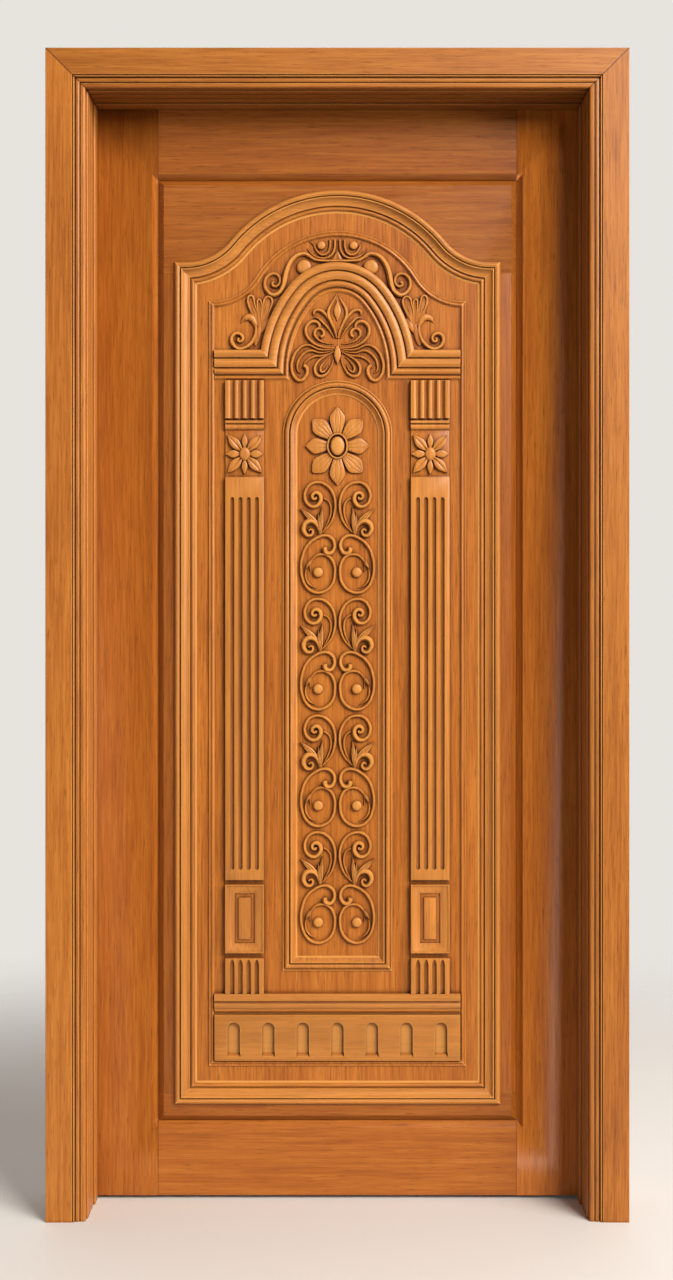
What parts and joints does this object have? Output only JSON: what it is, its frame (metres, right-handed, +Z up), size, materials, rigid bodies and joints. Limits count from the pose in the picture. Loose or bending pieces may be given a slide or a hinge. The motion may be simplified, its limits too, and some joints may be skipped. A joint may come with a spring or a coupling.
{
  "type": "carved wooden entrance door with frame",
  "caption": "Panelled wooden entrance door with a temple-front relief, hung on butt hinges in a mitred frame with casing; the leaf swings away from the carved side.",
  "frame": {"origin": "on the floor, at the middle of the overall width and depth", "axes": "+X to the viewer's right, +Y away from the carved side, +Z up"},
  "size_m": [1.052, 0.176, 2.116],
  "materials": {
    "frame_wood": "honey-brown satin lacquer, grain along each leg",
    "leaf_wood": "honey-brown satin lacquer, grain along each board",
    "carving_wood": "honey-brown satin lacquer, darker in the recesses",
    "hinge_steel": "brushed"
  },
  "bodies": {
    "frame": {"left_jamb": "frame_wood", "right_jamb": "frame_wood", "head_jamb": "frame_wood", "left_casing": "frame_wood", "right_casing": "frame_wood", "head_casing": "frame_wood", "left_stop": "frame_wood", "right_stop": "frame_wood", "head_stop": "frame_wood", "top_hinge_frame_plate": "hinge_steel", "top_hinge_pin": "hinge_steel", "middle_hinge_frame_plate": "hinge_steel", "middle_hinge_pin": "hinge_steel", "bottom_hinge_frame_plate": "hinge_steel", "bottom_hinge_pin": "hinge_steel"},
    "leaf": {"left_stile": "leaf_wood", "right_stile": "leaf_wood", "top_rail": "leaf_wood", "bottom_rail": "leaf_wood", "head_field_board": "leaf_wood", "foot_field_board": "leaf_wood", "left_field_board": "leaf_wood", "right_field_board": "leaf_wood", "left_moulding": "leaf_wood", "right_moulding": "leaf_wood", "arched_moulding": "leaf_wood", "foot_moulding": "leaf_wood", "carved_panel": "carving_wood", "panel_bead": "carving_wood", "arch_entablature": "carving_wood", "left_pilaster": "carving_wood", "right_pilaster": "carving_wood", "base_cornice": "carving_wood", "niche_plinth": "carving_wood", "centre_frame": "carving_wood", "top_hinge_door_plate": "hinge_steel", "middle_hinge_door_plate": "hinge_steel", "bottom_hinge_door_plate": "hinge_steel"}
  },
  "joints": [
    {"name": "leaf_swing", "type": "hinge", "parent": "frame", "child": "leaf", "pos_m": [-0.4585, 0.082, 1.045], "axis": [0, 0, 1], "range_deg": [0, 110]}
  ]
}
